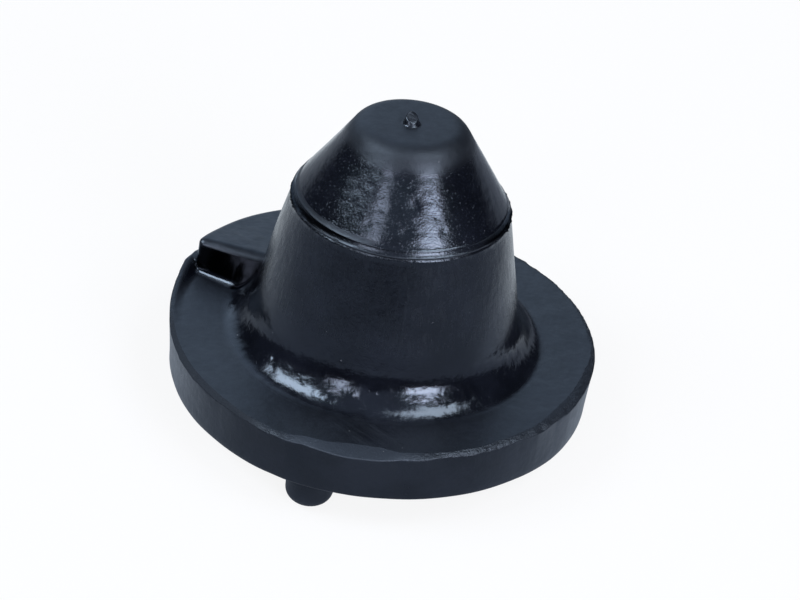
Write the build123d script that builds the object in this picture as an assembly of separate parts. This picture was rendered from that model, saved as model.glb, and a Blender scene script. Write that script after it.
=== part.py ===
from build123d import *
from math import cos, radians, sin
import os

os.makedirs("parts", exist_ok=True)

# The frame: +Z runs up the axis from the middle of the flat underside.
# Azimuths are counted from +X towards +Y in degrees, lengths are in millimetres.

# Flange, with its trimmed upper edge
flange_radius = 55.0
flange_foot_radius = 53.8
flange_foot_edge = 0.8
seat_height = 13.0
trim_width = 1.3
trim_drop = 0.7

# Broad fillet between the seat and the body's wall
fillet_radius = 40.6
fillet_top = 22.8
fillet_wall_pull = 6.8
fillet_seat_pull = 5.0

# Body's wall and the ledge at its top
ledge_radius = 27.4
ledge_height = 51.9
body_taper = 0.21

# Nose above the ledge
nose_foot_radius = 26.4
nose_foot_height = 53.4
nose_taper = 0.654
top_height = 73.6
shoulder = 4.6

# Helical ramp on the seat
ramp_start = 55.0
ramp_rise_per_degree = 0.083
ramp_radius = 53.4
ramp_root = 3.0
ramp_sections = 17
ramp_section_step = 9.0

# Stop at the ramp's high end, its face turned a little between foot and top
stop_radius = 52.4
stop_foot_azimuth = 164.0
stop_foot_turn = -9.2
stop_top_azimuth = 162.7
stop_top_turn = 8.7
stop_corner = 2.2
stop_edge = 1.8
stop_foot_fillet = 1.2

# Locating peg under the flange
peg_radius = 6.1
peg_length = 10.0
peg_tip_edge = 2.5
peg_circle_radius = 45.6
peg_azimuth = 254.3
peg_root = 4.0

# Sprue stub on the nose, cut off aslant
stub_foot_radius = 2.1
stub_tip_radius = 1.3
stub_height = 3.4
stub_root = 0.5
stub_cut_height = 2.0
stub_cut_tilt = 30.0
stub_cut_azimuth = 100.0


def on_circle(radius, azimuth, height):
    return Vector(radius * cos(radians(azimuth)), radius * sin(radians(azimuth)), height)


def nearest_edge(shape, point):
    return shape.edges().sort_by(lambda edge: (edge.center() - point).length)[0]


# Flange, fillet, body and nose as one turned section
fillet_wall_radius = ledge_radius + body_taper * (ledge_height - fillet_top)
nose_top_radius = nose_foot_radius - nose_taper * (top_height - nose_foot_height)
with BuildPart() as turned:
    with BuildSketch(Plane.XZ):
        with BuildLine():
            Polyline(
                (0, top_height),
                (0, 0),
                (flange_foot_radius, 0),
                (flange_radius, seat_height - trim_drop),
                (flange_radius - trim_width, seat_height),
                (fillet_radius, seat_height),
            )
            Bezier(
                (fillet_radius, seat_height),
                (fillet_radius - fillet_seat_pull, seat_height),
                (fillet_wall_radius + body_taper * fillet_wall_pull, fillet_top - fillet_wall_pull),
                (fillet_wall_radius, fillet_top),
            )
            Polyline(
                (fillet_wall_radius, fillet_top),
                (ledge_radius, ledge_height),
                (nose_foot_radius, nose_foot_height),
                (nose_top_radius, top_height),
                (0, top_height),
            )
        make_face()
    revolve(axis=Axis.Z)
    fillet(turned.edges().filter_by(GeomType.CIRCLE).sort_by(Axis.Z)[-1], shoulder)
    fillet(turned.edges().filter_by(GeomType.CIRCLE).sort_by(Axis.Z)[0], flange_foot_edge)

# The ramp is lofted through upright sections and runs on past the stop before it is cut
sections = []
for count in range(ramp_sections):
    azimuth = ramp_start + ramp_section_step * (count - 1)
    height = seat_height + ramp_rise_per_degree * (azimuth - ramp_start)
    across = on_circle(1, azimuth, 0)
    spoke = Plane(origin=(0, 0, 0), x_dir=across, z_dir=across.cross(Vector(0, 0, 1)))
    outline = Polyline(
        (ledge_radius, seat_height - ramp_root),
        (ramp_radius, seat_height - ramp_root),
        (ramp_radius, height),
        (ledge_radius, height),
        close=True,
    )
    sections.append(spoke * make_face(outline))
ramp = loft(sections)

# The stop's face is ruled from a line at its foot to a line at its top
stop_height = seat_height + ramp_rise_per_degree * (stop_top_azimuth - ramp_start)


def face_line(azimuth, turn, height):
    middle = on_circle(stop_radius, azimuth, height)
    along = on_circle(1, azimuth + turn, 0)
    return middle + along * 10, middle - along * 35


foot_line = face_line(stop_foot_azimuth, stop_foot_turn, seat_height)
top_line = face_line(stop_top_azimuth, stop_top_turn, stop_height)
ahead = on_circle(flange_radius, stop_foot_azimuth + 90, 0)
cut_ends = []
for share in (-0.6, 1.6):
    outer = foot_line[0] + (top_line[0] - foot_line[0]) * share
    inner = foot_line[1] + (top_line[1] - foot_line[1]) * share
    cut_ends.append(make_face(Polyline(outer, inner, inner + ahead, outer + ahead, close=True)))
ramp -= loft(cut_ends, ruled=True)

# The stop's upright corner is rounded first, then the edge along the stop and the ramp's rim
ramp = fillet(nearest_edge(ramp, on_circle(ramp_radius, stop_foot_azimuth, seat_height)), stop_corner)
rim_middle = (ramp_start + stop_top_azimuth) / 2
upper_points = [
    (top_line[0] + top_line[1]) * 0.5,
    on_circle(stop_radius, stop_top_azimuth, stop_height),
    on_circle(ramp_radius, rim_middle, (seat_height + stop_height) / 2),
]
ramp = fillet([nearest_edge(ramp, point) for point in upper_points], stop_edge)

# Locating peg
peg_center = on_circle(peg_circle_radius, peg_azimuth, -peg_length)
upright = (Align.CENTER, Align.CENTER, Align.MIN)
peg = Cylinder(peg_radius, peg_length + peg_root, align=upright)
peg = fillet(peg.edges().filter_by(GeomType.CIRCLE).sort_by(Axis.Z)[0], peg_tip_edge)
peg = Pos(peg_center) * peg

# Sprue stub
stub = Cone(stub_foot_radius, stub_tip_radius, stub_height, align=upright)
stub_cut = Plane(
    origin=(0, 0, stub_root + stub_cut_height),
    x_dir=on_circle(1, stub_cut_azimuth + 90, 0),
    z_dir=on_circle(-sin(radians(stub_cut_tilt)), stub_cut_azimuth, cos(radians(stub_cut_tilt))),
)
stub = Pos(0, 0, top_height - stub_root) * split(stub, bisect_by=stub_cut, keep=Keep.BOTTOM)

# One moulded piece, with a small fillet where the stop and the ramp stand on the seat
buffer = turned.part + ramp + peg + stub
foot_point = (foot_line[0] + foot_line[1]) * 0.5 + on_circle(6, stop_foot_azimuth, 0)
buffer = fillet(nearest_edge(buffer, foot_point), stop_foot_fillet)

print("volume mm3", round(buffer.volume), "solids", len(buffer.solids()), "valid", buffer.is_valid)
export_step(buffer, "parts/rubber_buffer.step")
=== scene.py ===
import math
import bpy
import numpy as np
from mathutils import Matrix, Quaternion, Vector
from mathutils.geometry import delaunay_2d_cdt


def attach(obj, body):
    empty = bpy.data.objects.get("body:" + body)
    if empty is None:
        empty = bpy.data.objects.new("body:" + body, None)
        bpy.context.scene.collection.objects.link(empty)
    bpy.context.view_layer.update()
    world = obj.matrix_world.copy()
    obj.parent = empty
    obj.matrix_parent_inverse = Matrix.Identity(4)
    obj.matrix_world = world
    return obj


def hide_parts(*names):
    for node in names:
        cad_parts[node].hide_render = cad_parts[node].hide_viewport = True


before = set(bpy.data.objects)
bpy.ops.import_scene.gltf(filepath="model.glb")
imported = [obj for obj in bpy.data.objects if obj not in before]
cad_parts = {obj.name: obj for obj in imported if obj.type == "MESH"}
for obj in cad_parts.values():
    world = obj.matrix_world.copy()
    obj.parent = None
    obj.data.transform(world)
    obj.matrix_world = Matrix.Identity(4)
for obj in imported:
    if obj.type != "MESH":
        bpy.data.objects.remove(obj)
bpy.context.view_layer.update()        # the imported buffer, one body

# The buffer's sizes, in millimetres and degrees as in the CAD
buffer = {
    "seat": 13.0, "footEdge": 0.8, "filletStart": 41.3, "filletTop": 22.7,
    "ledgeRadius": 27.4, "ledge": 51.9, "wallTaper": 0.21,
    "noseFoot": 26.4, "noseFootHeight": 53.4, "noseTaper": 0.654, "top": 73.6, "shoulder": 5.4,
    "rampStart": 55.0, "rampEnd": 162.7, "rampRise": 0.083, "rampTop": 21.9, "rampRadius": 53.4,
    "rampRounding": 1.9, "stopRounding": 1.9,
    "stopFoot": ((-50.5, 14.25), (-38.94, 8.1)), "stopTop": ((-49.0, 15.4), (-33.5, 13.1)),
    "footBend": 0.06, "bendFrom": 11.5, "bendReach": 5.5,
    "footFillet": 1.1, "innerFillet": 1.0, "wallCrease": 0.25,
}

# How the fillet turns, from the wall to the seat: length along it and how far its face looks up
filletTurns = [
    (0, 12), (3.0, 22.5), (4.5, 31.5), (5.5, 38), (7.5, 39.5), (10.6, 57), (12.0, 71), (13.15, 89),
]
filletRings, stepsPerRing = 30, 22

# The knife-trimmed edge: azimuth, the seat's end, the cut's foot radius and its height, the side's foot radius
trimmedEdge = [
    (0, 53.6, 54.85, 12.4, 54.0), (25, 54.2, 54.9, 12.6, 53.8), (48, 53.8, 54.5, 12.6, 53.8),
    (75, 54.3, 54.8, 12.6, 53.8), (120, 54.3, 54.9, 12.6, 53.8), (150, 54.3, 54.9, 13.2, 53.8),
    (159, 54.6, 55.5, 15.4, 54.0), (165, 54.5, 55.6, 15.8, 54.0), (170, 54.3, 55.3, 14.6, 54.0),
    (177, 54.0, 55.0, 13.8, 53.9), (188, 53.6, 54.5, 13.0, 53.85), (200, 53.2, 54.5, 12.5, 53.85),
    (217, 53.05, 54.6, 12.2, 54.15), (228, 53.1, 54.3, 12.2, 54.25), (237, 53.6, 54.62, 12.2, 54.45),
    (246, 53.6, 55.1, 12.2, 54.5), (250, 53.2, 55.1, 12.2, 54.65), (254, 51.9, 54.2, 12.2, 54.55),
    (260, 51.6, 54.7, 12.2, 54.4), (266, 50.4, 55.2, 12.2, 54.15), (274, 50.6, 54.7, 12.2, 54.0),
    (279, 51.9, 53.9, 12.2, 53.9), (286, 52.0, 53.8, 12.2, 53.8), (293, 52.1, 53.1, 12.2, 53.8),
    (300, 52.3, 53.5, 12.1, 53.8), (307, 51.9, 53.3, 12.1, 53.8), (314, 52.0, 53.4, 12.1, 53.8),
    (320, 51.9, 54.0, 12.1, 53.95), (328, 51.6, 53.7, 12.1, 54.2), (334, 51.4, 54.2, 12.1, 54.2),
    (341, 51.9, 54.3, 12.2, 54.1), (348, 51.9, 54.45, 12.2, 54.0),
]

# How far the rim curls up beside the stop: azimuth and height, then between which radii it rises
rimCurl = [
    (0, 0.0), (140, 0.0), (152, 1.0), (159, 3.3), (165, 3.6), (169, 2.5), (173, 1.8), (178, 1.2),
    (186, 0.6), (200, 0.0),
]
curlRadii = (51.3, 55.4)


def smooth(value, low, high):
    t = np.clip((value - low) / (high - low), 0, 1)
    return t * t * (3 - 2 * t)


def fade(value, low, high):
    return 1 - smooth(value, low, high)


def within(value, rise, fall):
    # 1 between two places, easing in over the first pair and out over the second
    return smooth(value, *rise) * fade(value, *fall)


def mix(first, second, share):
    return first + (second - first) * share


def hump(azimuth, middle, width, power=2):
    # 1 at one azimuth, falling to 0 on both sides
    return np.exp(-(((azimuth - middle + 180) % 360 - 180) / width) ** power)


def evenly(count):
    return np.arange(count) * 360 / count


def azimuthAt(x, y):
    return np.degrees(np.arctan2(y, x)) % 360


def turnNoise(azimuth, count, seed):
    # smooth noise that closes on itself round the axis, -1 to 1
    knots = np.random.default_rng(seed).uniform(-1, 1, count)
    place = np.asarray(azimuth) / 360 * count
    low = np.floor(place).astype(int)
    return mix(knots[low % count], knots[(low + 1) % count], smooth(place - low, 0, 1))


def aroundTable(table, azimuth):
    # values set at a few azimuths, joined by straight lines round the axis
    knots = np.array(sorted(table), float)
    place = np.concatenate([knots[-1:, 0] - 360, knots[:, 0], knots[:1, 0] + 360])
    values = np.concatenate([knots[-1:, 1:], knots[:, 1:], knots[:1, 1:]])
    azimuth = np.asarray(azimuth) % 360
    return [np.interp(azimuth, place, values[:, k]) for k in range(values.shape[1])]


def profilePoints():
    # the turned section without the ramp, from the nose's shoulder down to the seat
    b = buffer
    slope = np.array([b["noseTaper"], -1.0])
    slope = slope / np.hypot(*slope)
    corner = np.array([b["noseFoot"] - b["noseTaper"] * (b["top"] - b["noseFootHeight"]), b["top"]])
    turn = math.acos(slope[0])
    centre = corner - np.array([b["shoulder"] * math.tan(turn / 2), b["shoulder"]])
    angles = np.linspace(math.pi / 2, math.pi / 2 - turn, 10)
    shoulder = centre + b["shoulder"] * np.stack([np.cos(angles), np.sin(angles)], 1)
    noseEnd = np.array([b["noseFoot"], b["noseFootHeight"]])
    wallEnd = np.array([b["ledgeRadius"] + b["wallTaper"] * (b["ledge"] - b["filletTop"]), b["filletTop"]])
    length = np.linspace(0, filletTurns[-1][0], filletRings * stepsPerRing + 1)
    turned = np.radians(np.interp(length, *np.array(filletTurns, float).T))
    step = length[1] * np.stack([np.sin(turned[:-1]), -np.cos(turned[:-1])], 1)
    path = wallEnd + np.concatenate([[[0, 0]], np.cumsum(step, 0)])
    # the path is eased so that it ends just where the seat begins
    path = path + (np.array([b["filletStart"], b["seat"]]) - path[-1]) * (length / length[-1])[:, None]
    return shoulder, noseEnd, wallEnd, path[::stepsPerRing]


shoulderCurve, noseEnd, wallEnd, filletCurve = profilePoints()
noseTop = shoulderCurve[-1]
ledgeEnd = np.array([buffer["ledgeRadius"], buffer["ledge"]])
beyondRim = 60.0
turnedLine = np.concatenate([[noseEnd, ledgeEnd], filletCurve, [[beyondRim, buffer["seat"]]]])


def rulePoint(height):
    # the stop's ruled face at one height: outer point and direction outwards
    b = buffer
    highest = b["seat"] + b["rampRise"] * (b["rampEnd"] - b["rampStart"])
    share = ((np.asarray(height) - b["seat"]) / (highest - b["seat"]))[..., None]
    outer, inner = (mix(np.array(foot), np.array(top), share) for foot, top in zip(b["stopFoot"], b["stopTop"]))
    along = outer - inner
    return outer, along / np.linalg.norm(along, axis=-1)[..., None]


def footBend(inward, height):
    # towards the fillet the face's foot bends back, so that the face stays steep
    b = buffer
    low = np.clip((b["rampTop"] - height) / (b["rampTop"] - b["seat"]), 0, 1)
    return b["footBend"] * low * np.clip(inward - b["bendFrom"], 0, b["bendReach"]) ** 2


def rampHeight(azimuth):
    # height of the ramp's top, carried on below the seat before the ramp starts
    return buffer["seat"] + buffer["rampRise"] * (np.asarray(azimuth) - buffer["rampStart"])


def roundJoin(first, second, radius):
    # both at once, with the shared edge rounded
    u = np.maximum(radius + first, 0)
    v = np.maximum(radius + second, 0)
    return np.minimum(-radius, np.maximum(first, second)) + np.hypot(u, v)


def roundMeet(first, second, radius):
    # either one, with a small fillet where they meet
    return -roundJoin(-first, -second, radius)


def turnedDistance(r, z):
    # signed distance to the turned section, below 0 inside the rubber
    signed = np.full(r.shape, 1e9)
    for a, c in zip(turnedLine[:-1], turnedLine[1:]):
        step = c - a
        t = np.clip(((r - a[0]) * step[0] + (z - a[1]) * step[1]) / (step @ step), 0, 1)
        dr, dz = r - a[0] - t * step[0], z - a[1] - t * step[1]
        away = np.hypot(dr, dz)
        side = dr * -step[1] + dz * step[0]
        signed = np.where(away < np.abs(signed), np.where(side >= 0, away, -away), signed)
    return signed


# How the distance to the ramp is measured: its slopes, the azimuths it counts at, and the distance elsewhere
rampMeasure = {"topSlope": 0.993, "faceSlope": 0.95, "from": 20, "to": 185, "elsewhere": 5.0}
# Where the small fillet at the stop's foot widens, begins and runs out at both ends
footRange = {"widens": (1.0, 10.0), "azimuths": (159, 164), "innerEnd": (11.0, 12.8), "outerEnd": (51.8, 53.2)}


def rampDistance(points):
    # distance to the ramp alone, and how far inwards along the stop's face
    x, y, z = points.T
    azimuth = azimuthAt(x, y)
    top = (z - rampHeight(azimuth)) * rampMeasure["topSlope"]
    outer, along = rulePoint(z)
    face = (y - outer[:, 1]) * along[:, 0] - (x - outer[:, 0]) * along[:, 1]
    inward = (outer[:, 0] - x) * along[:, 0] + (outer[:, 1] - y) * along[:, 1]
    face = face + footBend(inward, z)
    ramp = roundJoin(top, face * rampMeasure["faceSlope"], buffer["stopRounding"])
    ramp = roundJoin(ramp, np.hypot(x, y) - buffer["rampRadius"], buffer["rampRounding"])
    near = (azimuth > rampMeasure["from"]) & (azimuth < rampMeasure["to"])
    return np.where(near, ramp, rampMeasure["elsewhere"]), inward


def bodyDistance(points):
    b = buffer
    x, y, z = points.T
    r = np.hypot(x, y)
    ramp, inward = rampDistance(points)
    # the fillet at the stop's foot changes inwards, and elsewhere only a crease is left of it
    soft = mix(b["footFillet"], b["innerFillet"], smooth(inward, *footRange["widens"]))
    atStop = smooth(azimuthAt(x, y), *footRange["azimuths"])
    atStop = atStop * fade(inward, *footRange["innerEnd"]) * fade(r, *footRange["outerEnd"])
    return roundMeet(turnedDistance(r, z), ramp, mix(b["wallCrease"], soft, atStop))


def settle(points, rounds=5, probe=0.02, furthest=0.6, leastSlope=0.2):
    # draws points onto the rounded surface along its own slope
    for _ in range(rounds):
        here = bodyDistance(points)
        slope = np.zeros(points.shape)
        for axis, shift in enumerate(np.eye(3) * probe):
            slope[:, axis] = (bodyDistance(points + shift) - bodyDistance(points - shift)) / (2 * probe)
        size = np.maximum((slope ** 2).sum(1), leastSlope)
        points = points - slope * (np.clip(here, -furthest, furthest) / size)[:, None]
    return points


rings = []   # each ring is a list of points and its azimuths, from the stub down to the underside


def addRing(r, azimuth, z, zone):
    turn = np.radians(azimuth)
    points = np.stack([r * np.cos(turn), r * np.sin(turn), np.broadcast_to(z, turn.shape)], 1)
    rings.append({"points": points, "azimuth": azimuth, "zone": zone})


def turnedRing(r, z, count, zone):
    addRing(r, evenly(count), z, zone)


# Stub: a short torn stalk with a slanting top
stub = {
    "foot": 2.25, "neck": 0.80, "height": 1.9, "tilt": 0.55, "towards": 115.0, "shift": (-0.1, -0.9),
    "rimRadius": 1.4, "points": 48, "torn": 0.12, "wavy": 0.10,
}


def stubSlant(r, azimuth):
    return r * stub["tilt"] * np.cos(np.radians(azimuth - stub["towards"]))


def makeStub():
    top, count = buffer["top"], stub["points"]
    for r, points in ((0.35, 12), (0.75, 24), (1.1, 32), (1.3, 40)):
        azimuth = evenly(points)
        rough = stub["torn"] * turnNoise(azimuth, 9, 3 + points) + stub["wavy"] * turnNoise(azimuth, 5, 11)
        turnedRing(r, top + stub["height"] + stubSlant(r, azimuth) + rough * r / 1.3, points, "stubTop")
    azimuth = evenly(count)
    lip = stub["height"] + stubSlant(stub["rimRadius"], azimuth) + stub["wavy"] * turnNoise(azimuth, 5, 11)
    for share in (1.0, 0.8, 0.55, 0.3, 0.12):
        rounded = 0.05 * (share == 1.0)
        turnedRing(stub["foot"] - stub["neck"] * share ** 0.8, top + lip * share - rounded, count, "stub")
    turnedRing(2.4, top - 0.04, count, "top")
    turnedRing(2.65, top, 64, "top")
    for ring in rings:
        ring["points"][:, :2] += stub["shift"]


makeStub()

# Flat top, rounded shoulder and nose, whose last rings dip a little towards the ledge
for r, count in ((4.2, 110), (5.4, 140), (6.7, 170), (8.0, 200), (9.2, 230)):
    turnedRing(r, buffer["top"], count, "top")
for r, z in shoulderCurve:
    turnedRing(r, z, 260, "top")
for share in np.linspace(0, 0.975, 44)[1:]:
    turnedRing(*mix(noseTop, noseEnd, share), 320 if share < 0.4 else 400, "nose")
for share, dip in ((0.990, 0.02), (1.0, 0.07)):
    turnedRing(*mix(noseTop, noseEnd, share) + dip, 480, "nose")

# Ledge with the thin torn flash of the mould's parting line, a notch under it and the lower half's own lip.
# The flash stands out most at two sides; the rest is how far each kind of tear stands out.
ledge = {
    "points": 640, "sides": (203, 345), "sideWidth": 16, "sideFlash": (0.40, 0.75),
    "flash": (0.06, 0.20, 0.10), "lip": (0.02, 0.16, 0.10),
}


def makeLedge():
    around = evenly(ledge["points"])
    sides = sum(hump(around, middle, ledge["sideWidth"]) for middle in ledge["sides"])
    even, ragged, wavy = ledge["flash"]
    flash = even + ragged * np.maximum(turnNoise(around, 150, 21), 0) ** 2
    flash = flash + wavy * np.maximum(turnNoise(around, 37, 22), 0)
    even, ragged = ledge["sideFlash"]
    tears = np.abs(turnNoise(around, 110, 25)) * np.abs(turnNoise(around, 260, 26)) ** 0.5
    flash = flash + sides * (even + ragged * tears)
    even, ragged, fine = ledge["lip"]
    lip = even + ragged * np.maximum(turnNoise(around, 130, 27), 0) + fine * np.maximum(turnNoise(around, 300, 28), 0)
    for share, dip in ((0.06, 0.10), (0.16, 0.05), (0.30, 0.0), (0.60, 0.0), (0.90, 0.0)):
        spot = mix(noseEnd, ledgeEnd, share)
        turnedRing(spot[0] + dip, spot[1] + dip * 0.7, ledge["points"], "ledge")
    # outwards and upwards from the ledge's end
    steps = (
        (flash, 0.04 + 0.5 * flash * turnNoise(around, 90, 23), "flash"), (flash * 0.8, -0.16, "flash"),
        (-0.22, -0.34, "flash"), (-0.20, -0.52, "wall"), (0.16 + lip, -0.72, "wall"), (0.20, -0.95, "wall"),
    )
    for out, up, zone in steps:
        turnedRing(ledgeEnd[0] + out, ledgeEnd[1] + up, ledge["points"], zone)


makeLedge()
lipShare = 0.045   # the part of the wall that the lower lip takes
for share in np.linspace(0, 1, 38)[1:-1]:
    turnedRing(*mix(ledgeEnd, wallEnd, lipShare + share * (1 - lipShare)), 440 if share < 0.6 else 500, "wall")

# Fillet, seat and ramp share columns that close up round the stop
columns = {
    "apart": 0.75, "close": 0.25, "closeFrom": 158, "faceFrom": 162, "faceTo": 166, "closeTo": 170,
    "onFace": 34, "from": 146, "to": 184,
}
faceWidth = columns["faceTo"] - columns["faceFrom"]
nominal = np.concatenate([
    np.arange(0, columns["closeFrom"], columns["apart"]),
    np.arange(columns["closeFrom"], columns["faceFrom"], columns["close"]),
    columns["faceFrom"] + np.arange(columns["onFace"]) * faceWidth / columns["onFace"],
    np.arange(columns["faceTo"], columns["closeTo"], columns["close"]),
    np.arange(columns["closeTo"], 360, columns["apart"]),
])


def stopAzimuth(r, height):
    # azimuth at which the ruled face crosses a circle at this height
    outer, along = rulePoint(height)
    middle = outer @ along
    reach = math.sqrt(max(middle ** 2 - outer @ outer + r * r, 0.0)) - middle
    across = np.array([along[1], -along[0]])
    if across[1] > 0:
        across = -across
    return azimuthAt(*(outer + along * reach - across * footBend(-reach, height)))


def stopColumns(r):
    # azimuth and height of every column on a circle: ramp, stop's face, seat
    c, seat = columns, buffer["seat"]
    top, foot = stopAzimuth(r, buffer["rampTop"]), stopAzimuth(r, seat)
    azimuth = np.interp(nominal, [0, c["from"], c["faceFrom"], c["faceTo"], c["to"], 360],
                        [0, c["from"], top, foot, c["to"], 360])
    share = np.clip((nominal - c["faceFrom"]) / faceWidth, 0, 1)
    onFace = rampHeight(top) * (1 - share) + seat * share
    height = np.where(nominal <= c["faceFrom"], np.maximum(rampHeight(azimuth), seat), onFace)
    return azimuth, np.where(nominal >= c["faceTo"], seat, height)


def sharpRing(r, low, zone):
    # a ring on the section at this radius, lifted onto the ramp where the ramp is higher
    azimuth, height = stopColumns(min(r, buffer["rampRadius"]))
    addRing(r, azimuth, np.maximum(low, height), zone)


def rampWallRing(share):
    # up the ramp's outer wall; where there is no ramp these rings lie side by side on the seat
    azimuth, height = stopColumns(buffer["rampRadius"])
    lift = (height - buffer["seat"]) * share
    apart = 0.12 * (share - 0.1) * fade(lift, 0.0, 0.6)
    addRing(buffer["rampRadius"] - apart, azimuth, buffer["seat"] + lift, "seat")


firstSharp = len(rings)
for r, z in filletCurve:
    sharpRing(r, z, "fillet")
for r in np.concatenate([np.linspace(41.7, 50.9, 15), np.linspace(51.3, 53.2, 7)]):
    sharpRing(r, buffer["seat"], "seat")
for share in (0.97, 0.9, 0.82, 0.7, 0.58, 0.46, 0.34, 0.22, 0.1):
    rampWallRing(share)
lastSharp = len(rings)
for ring in rings[firstSharp:lastSharp]:
    near = (ring["azimuth"] > 40) & (ring["azimuth"] < 185)
    ring["points"][near] = settle(ring["points"][near])
print("ramp and stop settled")

# The trimmed edge: how far it tears, how far its foot wanders, how far the band bulges and how rough it is
trim = {
    "points": 760, "torn": (0.10, 0.14), "foot": (0.12, 0.10), "bulge": 0.10, "rough": 0.11, "roughBand": (0.08, 0.95),
    "bulgeOut": 0.6, "bulgeUp": 0.8, "evenTearsLess": 0.6, "innermost": 50.3, "besideRamp": 53.62,
}
# How the rings above are fitted to the cut: from which radius, how far inside it, up to which height above the
# seat, and how much less the ramp's top curls
fitting = {"from": 45, "inside": 0.10, "flat": (0.05, 0.6), "topCurlsLess": 0.75, "topHeights": (13.5, 20.0)}
# The ramp's rim sags a little behind the body: how far, between which azimuths, radii and heights
rimSag = {"depth": 0.35, "begins": (80, 105), "ends": (148, 161), "radii": (42, 52), "heights": (13.2, 15.0)}


def calmCut(azimuth):
    # 1 where the knife left a smooth band, 0 where it tore
    return within(azimuth, (246, 254), (279, 288))


def evenCut(azimuth):
    # 1 along the left, where the cut is narrow and even
    return within(azimuth, (184, 194), (236, 246))


def seatLift(r, azimuth):
    # beside the stop the flange's rim curls up a little
    return aroundTable(rimCurl, azimuth)[0] * smooth(r, *curlRadii)


def fitToEdge(ring):
    points, azimuth, held = ring["points"], ring["azimuth"], fitting["from"]
    r = np.hypot(*points.T[:2])
    limit = aroundTable(trimmedEdge, azimuth)[0] - fitting["inside"]
    flat = fade(points[:, 2] - buffer["seat"], *fitting["flat"])
    inside = held + (r - held) * np.minimum((limit - held) / (buffer["rampRadius"] - held), 1)
    drawn = mix(r, np.where(r > held, inside, r), flat)
    points[:, :2] *= (drawn / r)[:, None]
    top = smooth(points[:, 2], *fitting["topHeights"])
    points[:, 2] += seatLift(drawn, azimuth) * (1 - fitting["topCurlsLess"] * top)
    sag = within(azimuth, rimSag["begins"], rimSag["ends"]) * smooth(drawn, *rimSag["radii"])
    points[:, 2] -= rimSag["depth"] * sag * smooth(points[:, 2], *rimSag["heights"])


def edgeRing(share):
    # across the trimmed band: share 0 at the seat, 1 at the band's foot
    azimuth = evenly(trim["points"])
    start, end, low, foot = aroundTable(trimmedEdge, azimuth)
    calm = calmCut(azimuth)
    ragged = 1 - trim["evenTearsLess"] * evenCut(azimuth)
    torn = trim["torn"][0] * turnNoise(azimuth, 190, 31) + trim["torn"][1] * turnNoise(azimuth, 75, 32)
    start = np.maximum(start + torn * (1.6 - calm) * ragged, trim["innermost"])
    wander = trim["foot"][0] * turnNoise(azimuth, 160, 33) + trim["foot"][1] * turnNoise(azimuth, 41, 34)
    low = low + wander * (1.4 - calm)
    start = mix(start, np.maximum(start, trim["besideRamp"]), within(azimuth, (62, 80), (160, 166)))
    high = seatLift(start, azimuth) + buffer["seat"]
    r = mix(start, end, share)
    z = mix(high, np.minimum(low, high), share)
    bulge = trim["bulge"] * math.sin(math.pi * share)
    if trim["roughBand"][0] < share < trim["roughBand"][1]:
        bulge = bulge + trim["rough"] * turnNoise(azimuth, 330, 40 + int(share * 20)) * (1.2 - calm) * ragged
    addRing(r + bulge * trim["bulgeOut"], azimuth, z + bulge * trim["bulgeUp"], "trim")
    return r, z, foot


for ring in rings[firstSharp:lastSharp]:
    fitToEdge(ring)
for share in (0.0, 0.08, 0.25, 0.42, 0.6, 0.78, 0.92):
    edgeRing(share)
cutRadius, cutHeight, footRadius = edgeRing(1.0)

# The flange's side and its rounded lower edge
for share in (0.03, 0.08, 0.15, 0.26, 0.4, 0.55, 0.7, 0.85, 1.0):
    r = mix(footRadius, cutRadius, (1 - share) ** 1.5)
    turnedRing(r, mix(cutHeight, buffer["footEdge"], share), trim["points"], "side")
for angle, count in ((25, 640), (50, 640), (75, 640), (90, 420)):
    turn = math.radians(angle)
    r = aroundTable(trimmedEdge, evenly(count))[3] - buffer["footEdge"] * (1 - math.cos(turn))
    turnedRing(r, buffer["footEdge"] * (1 - math.sin(turn)), count, "side")
print("rings", len(rings), "points", sum(len(ring["points"]) for ring in rings))


def circle(r, count):
    turns = [2 * math.pi * k / count for k in range(count)]
    return [(r * math.cos(turn), r * math.sin(turn)) for turn in turns]


def neighbours(first, count):
    # each point of a closed ring with the next one
    return [(first + k, first + (k + 1) % count) for k in range(count)]


def stitch(offsetA, ringA, offsetB, ringB):
    # joins two rings of any count by walking round both
    a, b = ([*ring["azimuth"], ring["azimuth"][0] + 360, ring["azimuth"][0] + 720] for ring in (ringA, ringB))
    countA, countB = len(a) - 2, len(b) - 2
    i = j = 0
    while i < countA or j < countB:
        here, below = offsetA + i % countA, offsetB + j % countB
        ahead, belowAhead = offsetA + (i + 1) % countA, offsetB + (j + 1) % countB
        if abs(a[i + 1] - b[j + 1]) < 1e-6:
            faces.append((here, below, belowAhead, ahead))
            i += 1
            j += 1
        elif a[i + 1] < b[j + 1]:
            faces.append((here, below, ahead))
            i += 1
        else:
            faces.append((here, below, belowAhead))
            j += 1


offsets = [int(n) for n in np.cumsum([0] + [len(ring["points"]) for ring in rings])]
faces = [(offsets[-1], a, b) for a, b in neighbours(0, offsets[1])]
for k in range(len(rings) - 1):
    stitch(offsets[k], rings[k], offsets[k + 1], rings[k + 1])
vertices = [tuple(p) for ring in rings for p in ring["points"]]
vertices.append((*stub["shift"], buffer["top"] + stub["height"]))
zones = [ring["zone"] for ring in rings for p in ring["points"]] + ["stubTop"]

# Underside: a flat sheet with the peg growing out of it
peg = {"radius": 5.95, "length": 9.8, "edge": 3.3, "centre": (-12.34, -43.90), "root": 0.5, "points": 72}
pegOffset = len(vertices)


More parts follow.
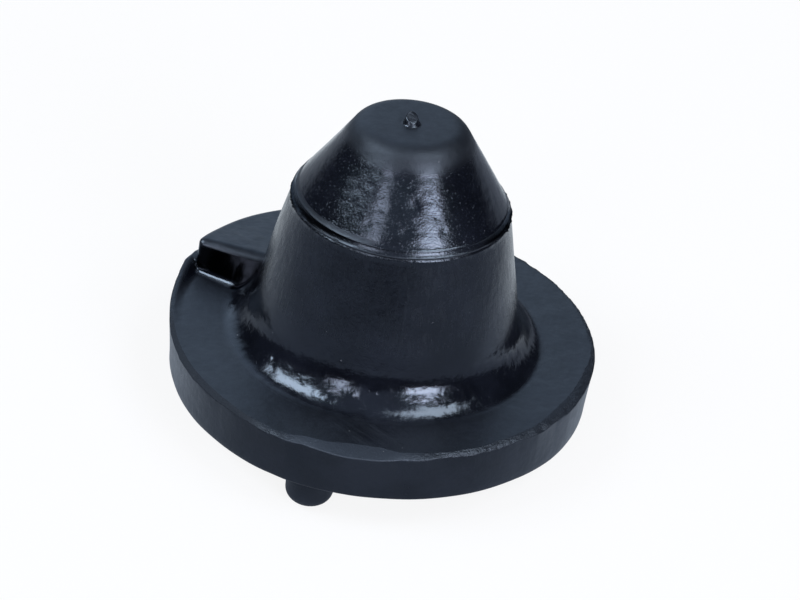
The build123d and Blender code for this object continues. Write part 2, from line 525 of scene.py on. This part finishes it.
def makePeg():
    (pegX, pegY), radius, edge, count = peg["centre"], peg["radius"], peg["edge"], peg["points"]
    sections = [(radius + peg["root"], 0.0), (radius + 0.15, -0.15), (radius, -peg["root"])]
    sections += [(radius, z) for z in np.linspace(-1.4, -(peg["length"] - edge), 9)]
    for angle in np.radians(np.arange(10, 91, 10)):
        sections.append((radius - edge * (1 - math.cos(angle)), -peg["length"] + edge * (1 - math.sin(angle))))
    sections += [(r, -peg["length"]) for r in (2.4, 1.2)]
    for r, z in sections:
        vertices.extend((pegX + x, pegY + y, z) for x, y in circle(r, count))
    last, pegTip = len(vertices) - count, len(vertices)
    for first in range(pegOffset, last, count):
        faces.extend((a, a + count, b + count, b) for a, b in neighbours(first, count))
    vertices.append((pegX, pegY, -peg["length"]))
    faces.extend((a, pegTip, b) for a, b in neighbours(last, count))
    zones.extend(["peg"] * (len(vertices) - pegOffset))


def makeUnderside(apart=4.0, furthest=52, clear=2.0):
    # points on circles inside the rim, joined to the rim and the peg's root by triangles
    (pegX, pegY), pegCount = peg["centre"], peg["points"]
    rimCount = offsets[-1] - offsets[-2]
    names = [*range(*offsets[-2:]), *range(pegOffset, pegOffset + pegCount)]
    flat = [vertices[k][:2] for k in names]
    edges = neighbours(0, rimCount) + neighbours(rimCount, pegCount)
    for r in np.arange(apart, furthest, apart):
        for x, y in circle(r, int(6 * r / apart)):
            if math.hypot(x - pegX, y - pegY) > peg["radius"] + clear:
                names.append(len(vertices))
                flat.append((x, y))
                vertices.append((x, y, 0.0))
                zones.append("under")
    rim = np.array(flat[:rimCount])
    rimTurn, rimReach = azimuthAt(*rim.T), np.hypot(*rim.T)
    places, _, triangles, origins = delaunay_2d_cdt([Vector(p) for p in flat], edges, [], 0, 1e-7)[:4]
    for triangle in triangles:
        corners = [origins[k][0] for k in reversed(triangle)]
        middle = sum((places[k] for k in triangle), Vector((0, 0))) / 3
        inPeg = math.hypot(middle.x - pegX, middle.y - pegY) < peg["radius"] + peg["root"] - 0.01
        reach = np.interp(azimuthAt(*middle), rimTurn, rimReach, period=360)
        pastRim = middle.length > reach - 1e-4 and all(k < rimCount for k in corners)
        if not inPeg and not pastRim:
            faces.append(tuple(names[k] for k in corners))


makePeg()
makeUnderside()
print("faces", len(faces), "triangles", sum(len(f) - 2 for f in faces))

# Dents: azimuth and height of each, its width and depth
dents = [
    (-80.5, 62.5, 1.9, 0.16), (-84.5, 57.0, 1.9, 0.18), (-66.0, 60.0, 1.0, 0.07), (-62.0, 57.3, 1.2, 0.10),
    (-100.0, 60.5, 1.1, 0.07), (-107.0, 57.0, 1.3, 0.10), (-90.0, 17.6, 1.5, 0.26), (-98.0, 16.4, 1.2, 0.18),
    (-93.0, 14.6, 1.0, 0.20), (-50.0, 16.0, 1.0, 0.12), (-60.0, 15.5, 0.9, 0.10), (-135.0, 17.0, 1.0, 0.12),
]
# Errors of demoulding: soft unevenness, a nose a little off the axis, and a left side slightly slimmer
uneven = {
    "broad": (0.035, 14.0), "narrow": (0.012, 3.2), "noseFrom": (50.0, 66.0), "noseShift": (0.20, -0.05),
    "noseDrop": 0.015, "dropTowards": (-0.6, 0.8), "slim": 0.36, "slimAzimuth": 185, "slimWidth": 48,
    "slimFrom": (37.0, 51.0), "slimBeyond": 6,
}


def pressDents(points, normals, steepness=1.6):
    line = np.concatenate([[noseTop], turnedLine[:-1]])
    for azimuth, height, size, depth in dents:
        r = np.interp(-height, -line[:, 1], line[:, 0])
        turn = math.radians(azimuth)
        centre = np.array([r * math.cos(turn), r * math.sin(turn), height])
        away = np.linalg.norm(points - centre, axis=1) / size
        points -= normals * (depth * np.exp(-away ** 2 * steepness))[:, None]


def waves(points, scale, seed, count=14, spread=3.7):
    # soft unevenness of hand-trimmed and demoulded rubber
    draw = np.random.default_rng(seed)
    total = np.zeros(len(points))
    for _ in range(count):
        way = draw.normal(size=3)
        way = way / np.linalg.norm(way) * draw.uniform(0.6, 1.5) / scale
        total += np.sin(points @ way * 2 * math.pi + draw.uniform(0, 6.28))
    return total / spread


def loosen(points, normals, r, azimuth):
    depth, scale = uneven["broad"]
    soft = np.isin(zoneOf, ["nose", "wall", "fillet", "side", "seat"])
    points += normals * (soft * depth * waves(points, scale, 5))[:, None]
    depth, scale = uneven["narrow"]
    points += normals * (np.isin(zoneOf, ["nose", "fillet"]) * depth * waves(points, scale, 6))[:, None]
    high = smooth(points[:, 2], *uneven["noseFrom"])
    slim = uneven["slim"] * hump(azimuth, uneven["slimAzimuth"], uneven["slimWidth"])
    slim = slim * smooth(points[:, 2], *uneven["slimFrom"]) * (r > uneven["slimBeyond"])
    points[:, :2] -= points[:, :2] / np.maximum(r, 1)[:, None] * slim[:, None]
    points[:, :2] += high[:, None] * uneven["noseShift"]
    points[:, 2] -= uneven["noseDrop"] * high * np.maximum(points[:, :2] @ uneven["dropTowards"], 0)


def addObject(name, data):
    thing = bpy.data.objects.new(name, data)
    bpy.context.scene.collection.objects.link(thing)
    return thing


mesh = bpy.data.meshes.new("moulded_buffer")
mesh.from_pydata(vertices, [], faces)
mesh.update()
points = np.array(vertices)
normals = np.zeros(points.size)
mesh.vertices.foreach_get("normal", normals)
normals = normals.reshape(-1, 3)
r, azimuthOf = np.hypot(*points.T[:2]), azimuthAt(*points.T[:2])
zoneOf = np.array(zones)
pressDents(points, normals)
loosen(points, normals, r, azimuthOf)
mesh.vertices.foreach_set("co", (points / 1000).ravel())
mesh.polygons.foreach_set("use_smooth", np.ones(len(mesh.polygons), dtype=bool))
mesh.update()
rubber = addObject("moulded_buffer", mesh)
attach(rubber, "root")
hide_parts("rubber_buffer")

# What the finish needs to know of each zone: roughness, then how strong the pits and the grain are
finish = {
    "nose": (0.16, 1.0), "top": (0.54, 0.25), "stub": (0.25, 0.4), "stubTop": (0.42, 0.8), "ledge": (0.22, 0.8),
    "flash": (0.72, 0.8), "wall": (0.26, 0.5), "fillet": (0.13, 0.3), "seat": (0.44, 0.2), "trim": (0.72, 1.0),
    "side": (0.34, 0.3), "peg": (0.45, 0.4), "under": (0.50, 0.3),
}
# Roughness inside a zone: values that take over, and values that are added
sheen = {
    "torn": 0.46, "calmAdds": 0.04, "evenAdds": 0.38, "noseTop": 0.54, "wallFootAdds": -0.10, "ramp": 0.44,
    "stopAdds": -0.32, "stopEdgeAdds": 0.28, "stopFoot": 0.14, "noseFootAdds": 0.30,
}
# The other layers at single places: how strong they are, or how much less; the last three set how dark the painted
# shade is on the stop's face, the torn flash and the ledge's sides
strength = {
    "rampPeel": 0.15, "noseTopPeelsLess": 0.75, "calmTornLess": 0.75, "ledgeTorn": 0.5, "sideStreaks": 0.4,
    "noseLumps": 0.22, "stopMottledLess": 0.85, "paintedShadeFace": 0.93, "paintedShadeFlash": 0.9, "paintedShadeLedge": 0.75,
}
# Between which heights, radii or azimuths these set in or end; stopFoot, lathe and scratched: middle and width
spans = {
    "noseTop": (67.0, 71.5), "wallFoot": (22, 30), "filletFoot": (38.8, 41.6), "abovePlain": (0.15, 0.7),
    "ramp": (50, 176), "upright": (0.70, 0.92), "stopEdge": (19.4, 20.4), "stopFoot": (166, 3.5),
    "creaseWidth": (0.5, 1.3), "innerFrom": (10.6, 11.6), "innerTo": (19, 22), "outerFrom": (52.0, 52.7),
    "outerAzimuths": (157, 161), "outerBelow": (17.5, 19.0), "nearFace": (0.4, 0.9), "faceAzimuths": (148, 154),
    "faceAbove": (14.1, 14.6), "faceBelow": (19.8, 20.8), "faceInward": 20, "faceRadius": 53, "stop": (140, 190),
    "leftFrom": (150, 170), "leftTo": (236, 256), "rightFrom": (316, 334), "noseFoot": 54.3, "noseLeftTo": (252, 266),
    "tornSides": (182, 352), "tornWidth": 26, "lathe": (41.4, 0.9), "scratched": (268, 17),
    "lumpyFrom": (186, 205), "streakedFrom": (24, 31),
}


def paintedShadeAt(away, upright, flash, left, onLedge):
    # painted shade: the stop's face, the creases at both its ends, and the torn flash and ledge at the sides are
    # painted near black and mirror next to nothing
    s, z = spans, points[:, 2]
    rampAway, inward = rampDistance(points)
    crease = fade(np.maximum(np.abs(away - seatLift(r, azimuthOf)), np.abs(rampAway)), *s["creaseWidth"])
    innerCrease = crease * within(inward, s["innerFrom"], s["innerTo"])
    outerCrease = crease * smooth(r, *s["outerFrom"]) * smooth(azimuthOf, *s["outerAzimuths"])
    outerCrease = outerCrease * fade(z, *s["outerBelow"])
    face = fade(np.abs(rampAway), *s["nearFace"]) * upright * smooth(azimuthOf, *s["faceAzimuths"])
    face = face * within(z, s["faceAbove"], s["faceBelow"]) * (inward < s["faceInward"]) * (r < s["faceRadius"])
    stop = np.maximum.reduce([innerCrease, outerCrease, strength["paintedShadeFace"] * face])
    stop = stop * (azimuthOf > s["stop"][0]) * (azimuthOf < s["stop"][1])
    sides = (left + smooth(azimuthOf, *s["rightFrom"])) * onLedge
    return np.maximum.reduce([stop, strength["paintedShadeFlash"] * flash, strength["paintedShadeLedge"] * sides])


def finishLayers():
    # each texture's strength at every point
    s, z = spans, points[:, 2]
    on = {name: zoneOf == name for name in finish}
    gloss, peel = (np.array([finish[name][k] for name in zones]) for k in (0, 1))
    calm = calmCut(azimuthOf)
    trimGloss = sheen["torn"] + sheen["calmAdds"] * calm + sheen["evenAdds"] * evenCut(azimuthOf)
    gloss = np.where(on["trim"], trimGloss, gloss)
    toSeat = smooth(r, *s["filletFoot"]) * on["fillet"]
    gloss, peel = mix(gloss, finish["seat"][0], toSeat), mix(peel, finish["seat"][1], toSeat)
    matt = smooth(z, *s["noseTop"]) * on["nose"]
    gloss = mix(gloss, sheen["noseTop"], matt)
    peel = peel * (1 - strength["noseTopPeelsLess"] * matt)
    # the wall is scuffed most near the ledge and least beside the fillet
    gloss = gloss + sheen["wallFootAdds"] * fade(z, *s["wallFoot"]) * on["wall"]
    # the ramp's top is satin like the seat, the stop's face is glossy and its upper edge dull
    away = turnedDistance(r, z)
    ramp = (on["fillet"] | on["seat"]) * smooth(away, *s["abovePlain"])
    ramp = ramp * (azimuthOf > s["ramp"][0]) * (azimuthOf < s["ramp"][1])
    upright = fade(normals[:, 2], *s["upright"])
    stopGloss = sheen["stopAdds"] + sheen["stopEdgeAdds"] * smooth(z, *s["stopEdge"])
    gloss = mix(gloss, sheen["ramp"] + stopGloss * upright, ramp)
    peel = mix(peel, strength["rampPeel"], ramp)
    gloss = mix(gloss, sheen["stopFoot"], hump(azimuthOf, *s["stopFoot"]) * on["seat"] * upright)
    noseFoot = on["nose"] * (z < s["noseFoot"]) * within(azimuthOf, s["leftFrom"], s["noseLeftTo"])
    gloss = gloss + sheen["noseFootAdds"] * noseFoot
    torn = sum(hump(azimuthOf, middle, s["tornWidth"], 4) for middle in s["tornSides"])
    left = within(azimuthOf, s["leftFrom"], s["leftTo"])
    latheRadius, latheWidth = s["lathe"]
    filletLumps = on["fillet"] * (1 - toSeat) * smooth(azimuthOf, *s["lumpyFrom"])
    tornTrim = on["trim"] * (1 - strength["calmTornLess"] * calm)
    return {
        # the smooth knife-cut front of the band gets a lighter colour, a painted sheen
        "gloss": gloss, "peel": peel, "slicedSheen": on["trim"] * calm,
        "cut": tornTrim + strength["ledgeTorn"] * torn * (on["ledge"] | on["flash"]),
        "streak": on["wall"] * smooth(z, *s["streakedFrom"]) + strength["sideStreaks"] * on["side"],
        "lathe": np.exp(-((r - latheRadius) / latheWidth) ** 2) * on["seat"],
        "scratch": hump(azimuthOf, *s["scratched"]) * on["seat"],
        "lumpy": strength["noseLumps"] * on["nose"] * (1 - matt) + filletLumps,
        # painted shade on the stop's face, its creases and the torn sides
        "paintedShade": paintedShadeAt(away, upright, torn * on["flash"], left, on["ledge"]),
        "mottled": (1 - peel) * (1 - strength["stopMottledLess"] * upright * ramp),
    }


for name, values in finishLayers().items():
    layer = mesh.attributes.new(name, "FLOAT", "POINT")
    layer.data.foreach_set("value", np.asarray(values, np.float32))
print("buffer made, points", len(mesh.vertices))


class Wire:
    # a socket that adds Math nodes when used in an expression
    def __init__(self, paint, socket):
        self.paint = paint
        self.socket = socket

    def other(self, output):
        # another output of the same node
        return Wire(self.paint, self.socket.node.outputs[output])

    def _math(self, operation, first, second):
        return self.paint.add("ShaderNodeMath", {"operation": operation}, {0: first, 1: second})

    def __add__(self, other):
        return self._math("ADD", self, other)

    def __radd__(self, other):
        return self._math("ADD", other, self)

    def __sub__(self, other):
        return self._math("SUBTRACT", self, other)

    def __rsub__(self, other):
        return self._math("SUBTRACT", other, self)

    def __mul__(self, other):
        return self._math("MULTIPLY", self, other)

    def __rmul__(self, other):
        return self._math("MULTIPLY", other, self)


class Paint:
    # adds nodes to one tree
    def __init__(self, tree):
        self.tree = tree

    def add(self, kind, settings=None, inputs=None, output=0):
        node = self.tree.nodes.new(kind)
        for name, value in (settings or {}).items():
            setattr(node, name, value)
        for name, value in (inputs or {}).items():
            self.feed(node, name, value)
        return Wire(self, node.outputs[output])

    def feed(self, node, name, value):
        if isinstance(value, Wire):
            self.tree.links.new(value.socket, node.inputs[name])
        else:
            node.inputs[name].default_value = value

    def ease(self, value, low, high, start=0.0, end=1.0):
        # runs smoothly from start to end while the value runs from low to high
        return self.add("ShaderNodeMapRange", {"interpolation_type": "SMOOTHSTEP"},
                        {"Value": value, "From Min": low, "From Max": high, "To Min": start, "To Max": end})

    def blend(self, share, first, second):
        # the Mix node's two colours are its sockets 6 and 7, and the mixed colour is its output 2
        return self.add("ShaderNodeMix", {"data_type": "RGBA"}, {0: share, 6: first, 7: second}, output=2)

    def blendShaders(self, share, first, second):
        return self.add("ShaderNodeMixShader", {}, {0: share, 1: first, 2: second})

    def length(self, x, y):
        return self.add("ShaderNodeMath", {"operation": "SQRT"}, {0: x * x + y * y})

    def rays(self):
        # those from the camera, from a mirroring surface, and through something clear
        seen = self.add("ShaderNodeLightPath", output="Is Camera Ray")
        return seen, seen.other("Is Glossy Ray"), seen.other("Is Transmission Ray")


# Colours, each noise's scale and detail, from where to where a noise shows, and the specks' sizes
# the lighter colour on the smooth, knife-cut front of the band is a painted sheen
rubberFinish = {
    "colour": (0.0026, 0.0031, 0.0050, 1), "bloom": (0.0062, 0.0073, 0.0115, 1), "torn": (0.0050, 0.0060, 0.0090, 1),
    # the near-black colour below is painted shade for the stop's face, its creases and the torn sides
    "slicedSheen": (0.0190, 0.0230, 0.0310, 1), "paintedShade": (0.0016, 0.0016, 0.0022, 1), "dust": (0.22, 0.22, 0.24, 1),
    "specular": 0.85, "sheen": (0.78, 0.88, 1.0, 1), "bumpDepth": 0.00008,
    "cloud": (60.0, 5.0), "grain": (2100.0, 2.0), "lumps": (300.0, 2.0), "fine": (2600.0, 2.0),
    "mottle": (430.0, 1.0), "patches": (70.0, 2.0), "scuffs": (900.0, 3.0), "turned": (1.0, 2.0),
    "scuffStretch": (1, 1, 9), "scratchStretch": (26, 1, 1), "scratchTurn": -38.0,
    "turnedAcross": 2600.0, "turnedAlong": 12.0, "noiseRoughness": 0.6, "warpScale": 1600.0, "warpSize": 0.0006,
    "bloomShows": (0.35, 0.70), "tornShows": (0.35, 0.65), "patchShows": (0.40, 0.62),
    "pits": {"scale": 1500.0, "sizes": (0.10, 0.34), "picked": (0.40, 0.50)},
    "dustSpecks": {"scale": 230.0, "sizes": (0.018, 0.036), "picked": (0.70, 0.71)},
}
# How much each texture adds to the roughness, and to the height
rougher = {"cloud": 0.14, "mottle": 0.20, "fine": 0.10, "scuffs": 0.35, "dust": 0.3, "scratches": 0.60}
raised = {"grain": 0.5, "pits": 0.38, "lumps": 1.1, "fine": 0.3, "torn": 1.8, "mottle": 1.6, "scuffs": 1.0,
          "lathe": 1.2, "scratches": 2.6}


def newMaterial(name):
    material = bpy.data.materials.new(name)
    material.use_nodes = True
    return material, material.node_tree.nodes, Paint(material.node_tree)


def paintRubber():
    material, nodes, paint = newMaterial("black_rubber_moulded")
    shader = nodes["Principled BSDF"]
    look = rubberFinish
    place = paint.add("ShaderNodeTexCoord", output="Object")

    def mask(name):
        return paint.add("ShaderNodeAttribute", {"attribute_name": name}, output="Fac")

    def noise(name, where=place):
        scale, detail = look[name]
        return paint.add("ShaderNodeTexNoise", {}, {"Vector": where, "Scale": scale, "Detail": detail,
                                                    "Roughness": look["noiseRoughness"]})

    def stretched(turn, scale):
        return paint.add("ShaderNodeMapping", {"vector_type": "TEXTURE"},
                         {"Vector": place, "Rotation": (0, 0, math.radians(turn)), "Scale": scale})

    def specks(where, kind):
        # a round speck in the cells that are picked by their random colour
        away = paint.add("ShaderNodeTexVoronoi", {}, {"Vector": where, "Scale": kind["scale"]}, output="Distance")
        chance = paint.add("ShaderNodeSeparateColor", {}, {"Color": away.other("Color")})
        return paint.ease(away, *kind["sizes"], 1.0, 0.0) * paint.ease(chance, *kind["picked"])

    gloss, peel, cut, mottled, streak = map(mask, ("gloss", "peel", "cut", "mottled", "streak"))
    cloud, grain, lumps, fine, mottle = map(noise, ("cloud", "grain", "lumps", "fine", "mottle"))
    # pits and small wrinkles left by the mould
    swirl = paint.add("ShaderNodeTexNoise", {}, {"Vector": place, "Scale": look["warpScale"]}, output="Color")
    warpSize = (look["warpSize"],) * 3
    warp = paint.add("ShaderNodeVectorMath", {"operation": "MULTIPLY_ADD"}, {0: swirl, 1: warpSize, 2: place})
    pits = specks(warp, look["pits"])
    # vertical scuffs, lathe lines at the fillet's foot, slanting scratches on the front of the seat
    scuffs = noise("scuffs", stretched(0, look["scuffStretch"]))
    x = paint.add("ShaderNodeSeparateXYZ", {}, {0: place}, output="X")
    y = x.other("Y")
    around, along = paint.length(x, y) * look["turnedAcross"], look["turnedAlong"]
    turned = noise("turned", paint.add("ShaderNodeCombineXYZ", {}, {"X": around, "Y": x * along, "Z": y * along}))
    scratches = noise("scuffs", stretched(look["scratchTurn"], look["scratchStretch"]))
    scratched = mask("scratch") * paint.ease(noise("patches"), *look["patchShows"])
    dust = specks(place, look["dustSpecks"])

    colour = paint.blend(paint.ease(cloud, *look["bloomShows"]), look["colour"], look["bloom"])
    colour = paint.blend(cut * paint.ease(grain, *look["tornShows"]), colour, look["torn"])
    # painted sheen: a lighter colour on the smooth knife-cut front of the band
    colour = paint.blend(mask("slicedSheen"), colour, look["slicedSheen"])
    # painted shade: near black on the stop's face, its creases and the torn flash and ledge at the sides
    colour = paint.blend(mask("paintedShade"), colour, look["paintedShade"])
    colour = paint.blend(dust, colour, look["dust"])
    rough = gloss + (cloud - 0.5) * rougher["cloud"] + (mottle - 0.5) * rougher["mottle"] * mottled
    rough = rough + (fine - 0.5) * rougher["fine"] + (scuffs - 0.5) * rougher["scuffs"] * streak
    rough = rough + dust * rougher["dust"] + (scratches - 0.5) * rougher["scratches"] * scratched
    height = ((grain - 0.5) * raised["grain"] - pits * raised["pits"]) * peel
    height = height + (lumps - 0.5) * raised["lumps"] * mask("lumpy") + (fine - 0.5) * raised["fine"]
    height = height + (grain - 0.5) * raised["torn"] * cut + (mottle - 0.5) * raised["mottle"] * mottled
    height = height + (scuffs - 0.5) * raised["scuffs"] * streak + (turned - 0.5) * raised["lathe"] * mask("lathe")
    height = height + (scratches - 0.5) * raised["scratches"] * scratched
    bump = paint.add("ShaderNodeBump", {}, {"Strength": 1.0, "Distance": look["bumpDepth"], "Height": height})
    paint.feed(shader, "Base Color", colour)
    paint.feed(shader, "Roughness", rough)
    paint.feed(shader, "Normal", bump)
    # painted shade: a metal as dark as the painted shade's colour mirrors next to nothing, so the shaded places show
    # no reflection
    paint.feed(shader, "Metallic", mask("paintedShade"))
    paint.feed(shader, "Specular IOR Level", look["specular"])
    paint.feed(shader, "Specular Tint", look["sheen"])
    return material


mesh.materials.append(paintRubber())
print("rubber painted")

# Camera: the photograph's own angle, worked out in the buffer's frame
camera = {
    "elevation": 33.33, "roll": 7.97, "distance": 589.0, "shift": (-5.80, -17.91), "lens": 102.3, "sensor": 36.0,
    "nearest": 0.01,
}


def placeCamera():
    tilt, roll = math.radians(camera["elevation"]), math.radians(camera["roll"])
    forward = Vector((0, math.cos(tilt), -math.sin(tilt)))
    upright = Vector((0, math.sin(tilt), math.cos(tilt)))
    level = Vector((1, 0, 0))
    right = math.cos(roll) * level + math.sin(roll) * upright
    up = -math.sin(roll) * level + math.cos(roll) * upright
    spot = -camera["shift"][0] * right - camera["shift"][1] * up - camera["distance"] * forward
    data = bpy.data.cameras.new("camera")
    data.lens = camera["lens"]
    data.sensor_width = camera["sensor"]
    data.clip_start = camera["nearest"]
    matrix = Matrix((right, up, -forward)).transposed().to_4x4()
    matrix.translation = spot / 1000
    eye = addObject("camera", data)
    eye.matrix_world = matrix
    bpy.context.scene.camera = eye


placeCamera()

# Floor: the buffer stands on its peg and on the flange's far edge, so the floor leans in the buffer's frame.
# Reflections see it dark nearby, paler beside the buffer and bright behind it, with a dark place on either side.
floor = {
    "lean": 6.0, "towards": 74.3, "size": 3.0, "colour": (0.84, 0.85, 0.88, 1), "keepsShadow": 0.12, "mirrored": 0.85,
    "nearReflected": (0.12, 0.145, 0.20, 1), "besideReflected": (0.48, 0.56, 0.68, 1),
    "farReflected": (0.86, 0.94, 1.0, 1),
    "beside": (-0.062, -0.015), "besideFades": (((0.075, 0.10), 0.4), ((0.12, 0.22), 0.6)),
    "far": (-0.02, 0.10), "farEnds": (0.45, 0.70),
    "darkRight": {"reach": (0.09, 0.155), "aside": (0.02, 0.07), "share": 0.95},
    "darkLeft": {"reach": (0.09, 0.17), "aside": (-0.10, -0.04), "share": 0.78},
}


def floorPlane():
    lean, towards = math.radians(floor["lean"]), math.radians(floor["towards"])
    way = Vector((math.cos(towards), math.sin(towards), 0))
    normal = (Vector((0, 0, 1)) * math.cos(lean) - way * math.sin(lean)).normalized()
    side = Vector((-way.y, way.x, 0))
    lowest = min(Vector(p) @ normal for p in vertices)
    return side, side.cross(normal), normal * lowest / 1000


def paintFloor():
    material, nodes, paint = newMaterial("pale_floor")
    nodes.remove(nodes["Principled BSDF"])

    def glowing(colour):
        return paint.add("ShaderNodeEmission", {}, {"Color": colour, "Strength": 1.0})

    seen, mirrored, through = paint.rays()
    aside = paint.add("ShaderNodeSeparateXYZ", {}, {0: paint.add("ShaderNodeTexCoord", output="Object")}, output="X")
    depth = aside.other("Y")
    distance = paint.length(aside, depth)
    left = 1.0
    for reach, share in floor["besideFades"]:
        left = left - paint.ease(distance, *reach) * share
    beside = paint.ease(depth, *floor["beside"]) * left
    far = paint.ease(depth, *floor["far"]) * (1.0 - paint.ease(depth, *floor["farEnds"]))
    dark = floor["darkRight"]
    atRight = paint.ease(distance, *dark["reach"]) * paint.ease(aside, *dark["aside"]) * dark["share"]
    dark = floor["darkLeft"]
    atLeft = paint.ease(distance, *dark["reach"]) * (1.0 - paint.ease(aside, *dark["aside"])) * dark["share"]
    bare = (1.0 - atRight) * (1.0 - atLeft)
    mirror = paint.blendShaders(beside * bare, glowing(floor["nearReflected"]), glowing(floor["besideReflected"]))
    mirror = paint.blendShaders(far * bare, mirror, glowing(floor["farReflected"]))
    matt = paint.add("ShaderNodeBsdfDiffuse", {}, {"Color": floor["colour"]})
    shown = paint.blendShaders((seen + through) * (1 - floor["keepsShadow"]), matt, glowing((1, 1, 1, 1)))
    mixed = paint.blendShaders(mirrored * floor["mirrored"], shown, mirror)
    paint.feed(nodes["Material Output"], "Surface", mixed)
    return material


def makeFloor():
    side, ahead, spot = floorPlane()
    half = floor["size"] / 2
    plate = bpy.data.meshes.new("floor")
    corners = [spot + side * a * half + ahead * b * half for a, b in ((-1, -1), (1, -1), (1, 1), (-1, 1))]
    plate.from_pydata(corners, [], [(0, 1, 2, 3)])
    plate.update()
    plate.materials.append(paintFloor())
    addObject("floor", plate)


makeFloor()

# Light: a plain pale room, two soft boxes in front and two above at the sides. Reflections see the white
# backdrop behind the buffer and the darker room in front of it.
room = {
    "plain": (0.22, 0.23, 0.25, 1), "dark": (0.012, 0.014, 0.020, 1),
    "backdrop": (0.56, 0.71, 0.92, 1), "backTowards": (-0.29, 0.815, 0.5), "backEdge": (0.74, 0.95),
    "glow": (0.20, 0.23, 0.30, 1), "glowTowards": (-0.05, -0.55, 0.83), "glowEdge": (0.70, 0.97),
    "lampDistance": 2.2, "lampHeight": 0.03,
}
softBoxes = [
    {"name": "front_right", "azimuth": 38.5, "elevation": 21.6, "size": (0.96, 0.74), "radiance": 10.0,
     "colour": (0.90, 0.93, 1.08)},
    {"name": "front_left", "azimuth": -26.0, "elevation": 26.0, "size": (0.48, 0.68), "radiance": 5.6,
     "colour": (0.90, 0.93, 1.08)},
    {"name": "above_right", "azimuth": 58.0, "elevation": 55.0, "size": (1.12, 1.05), "radiance": 5.2,
     "colour": (0.88, 0.97, 1.08)},
    {"name": "above_left", "azimuth": -69.0, "elevation": 44.8, "turn": 14.0, "size": (1.22, 0.83), "radiance": 7.6,
     "colour": (0.86, 0.97, 1.10)},
]


def paintRoom():
    world = bpy.data.worlds.new("room")
    bpy.context.scene.world = world
    world.use_nodes = True
    paint = Paint(world.node_tree)
    seen, mirrored, through = paint.rays()
    way = paint.add("ShaderNodeTexCoord", output="Generated")

    def window(towards, edge):
        cosine = paint.add("ShaderNodeVectorMath", {"operation": "DOT_PRODUCT"}, {0: way, 1: towards}, output="Value")
        return paint.ease(cosine, *edge)

    tint = paint.blend(window(room["glowTowards"], room["glowEdge"]), room["dark"], room["glow"])
    tint = paint.blend(window(room["backTowards"], room["backEdge"]), tint, room["backdrop"])
    lit = paint.blend(mirrored + through, room["plain"], tint)
    shown = paint.blend(seen, lit, (1, 1, 1, 1))
    paint.feed(world.node_tree.nodes["Background"], "Color", shown)


def placeLamp(box):
    turn, lift = math.radians(box["azimuth"]), math.radians(box["elevation"])
    way = Vector((math.sin(turn) * math.cos(lift), -math.cos(turn) * math.cos(lift), math.sin(lift)))
    data = bpy.data.lights.new(box["name"], "AREA")
    data.shape = "RECTANGLE"
    data.size, data.size_y = width, height = box["size"]
    data.energy = box["radiance"] * math.pi * width * height
    data.color = box["colour"]
    lamp = addObject(box["name"], data)
    lamp.location = way * room["lampDistance"] + Vector((0, 0, room["lampHeight"]))
    aimed = (-way).to_track_quat("-Z", "Y") @ Quaternion((0, 0, 1), math.radians(box.get("turn", 0.0)))
    lamp.rotation_euler = aimed.to_euler()
    lamp.visible_camera = False


paintRoom()
for box in softBoxes:
    placeLamp(box)
bpy.context.scene.view_settings.view_transform = "Standard"
print("camera, floor and lights placed")
